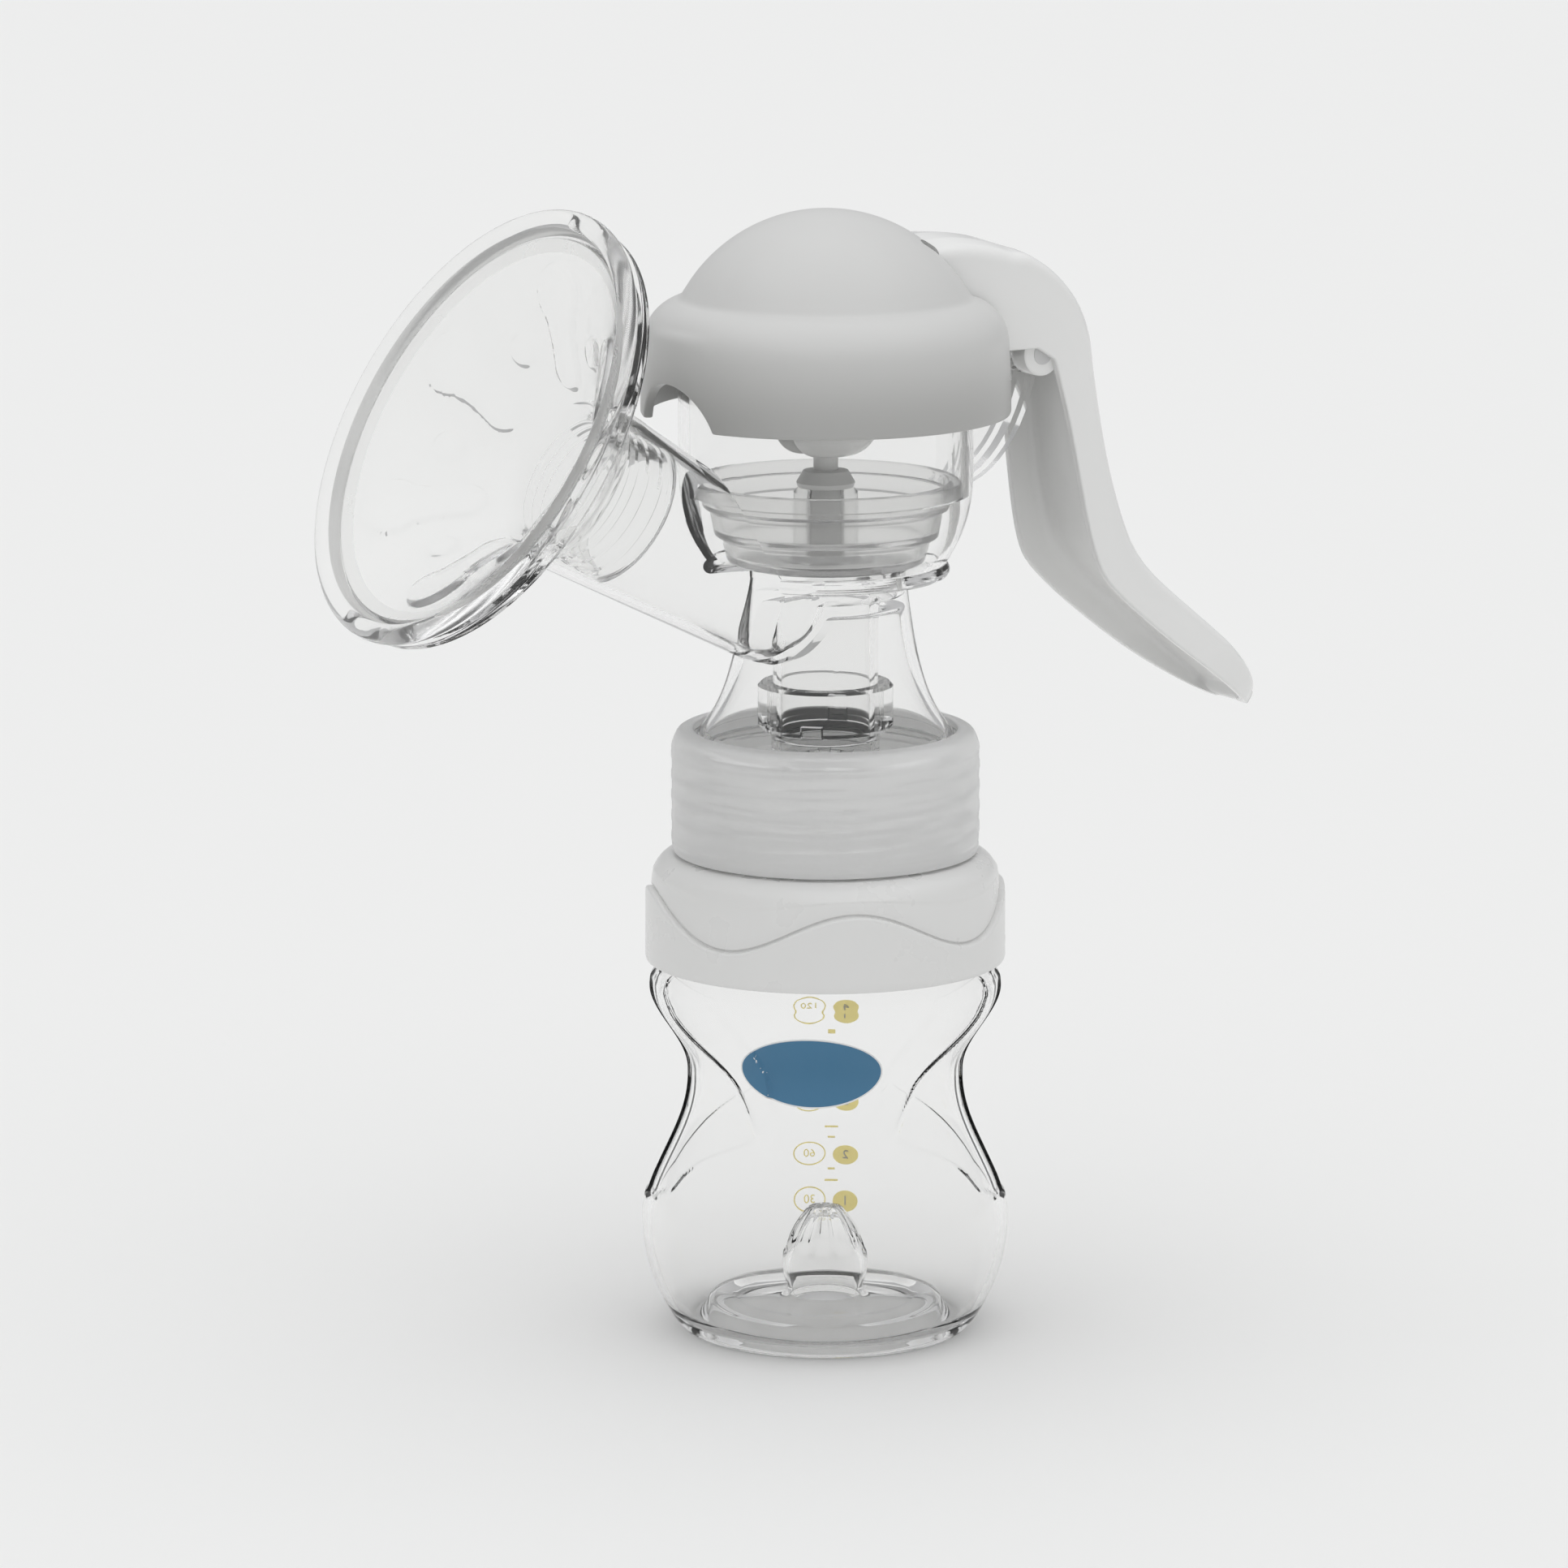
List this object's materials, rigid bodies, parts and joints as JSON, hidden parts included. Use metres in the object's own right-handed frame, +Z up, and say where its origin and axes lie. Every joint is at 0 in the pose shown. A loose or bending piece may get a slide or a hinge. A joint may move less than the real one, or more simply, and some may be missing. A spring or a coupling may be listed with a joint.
{
  "type": "manual breast pump",
  "caption": "Hand-squeezed breast pump: clear body with a slanted soft shield, domed cap, curved lever handle and a waisted bottle screwed on below.",
  "frame": {"origin": "on the bottle's axis at the surface that the bottle stands on", "axes": "+Z up along the bottle's axis, the shield points towards -X and up, the handle is on the +X side, and XZ is the plane of symmetry of the pump head"},
  "size_m": [0.1951, 0.0886, 0.2201],
  "materials": {
    "bottle_clear": "clear glossy",
    "body_clear": "clear glossy",
    "frosted_plastic": "frosted translucent",
    "collar_plastic": "satin",
    "cap_plastic": "satin",
    "handle_plastic": "gloss",
    "stem_plastic": "satin",
    "silicone": "soft",
    "silicone_clear": "soft translucent",
    "cushion_silicone": "soft translucent"
  },
  "bodies": {
    "bottle": {"bottle": "bottle_clear", "neck_ring": "collar_plastic"},
    "head": {"pump_body": "body_clear", "chamber": "body_clear", "shield_funnel": "body_clear", "handle_bracket": "body_clear", "seal_ring": "silicone", "valve_cup": "silicone_clear", "diaphragm": "silicone_clear", "pivot_pin": "stem_plastic"},
    "ring": {"screw_ring": "frosted_plastic"},
    "flap": {"valve_flap": "silicone"},
    "rod": {"pull_stem": "stem_plastic", "diaphragm_hub": "silicone_clear"},
    "handle": {"handle": "handle_plastic"},
    "cap": {"cap": "cap_plastic"},
    "cushion": {"cushion": "cushion_silicone"}
  },
  "joints": [
    {"name": "head_lift", "type": "slide", "parent": "bottle", "child": "head", "axis": [0, 0, 1], "range_m": [0, 0.006]},
    {"name": "ring_turn", "type": "hinge", "parent": "head", "child": "ring", "pos_m": [0, 0, 0.105], "axis": [0, 0, 1], "range_deg": [0, 540]},
    {"name": "cap_lift", "type": "slide", "parent": "head", "child": "cap", "axis": [0, 0, 1], "range_m": [0, 0.04]},
    {"name": "handle_squeeze", "type": "hinge", "parent": "head", "child": "handle", "pos_m": [0.0425, 0, 0.187], "axis": [0, 1, 0], "range_deg": [0, 15], "stiffness_Nm_per_rad": 1.2, "springref_deg": -2.86},
    {"name": "rod_lift", "type": "slide", "parent": "head", "child": "rod", "axis": [0, 0, 1], "range_m": [0, 0.0114], "deforming": ["diaphragm"]},
    {"name": "valve_open", "type": "slide", "parent": "head", "child": "flap", "axis": [0, 0, -1], "range_m": [0, 0.0015], "stiffness_N_per_m": 6, "springref_m": -0.001},
    {"name": "cushion_pull", "type": "slide", "parent": "head", "child": "cushion", "axis": [-0.8634, 0, 0.5045], "range_m": [0, 0.03]}
  ],
  "couplings": [
    {"joint": "head_lift", "follows": "ring_turn", "m_per_rad": 0.00063662},
    {"joint": "rod_lift", "follows": "handle_squeeze", "m_per_rad": 0.0435}
  ]
}
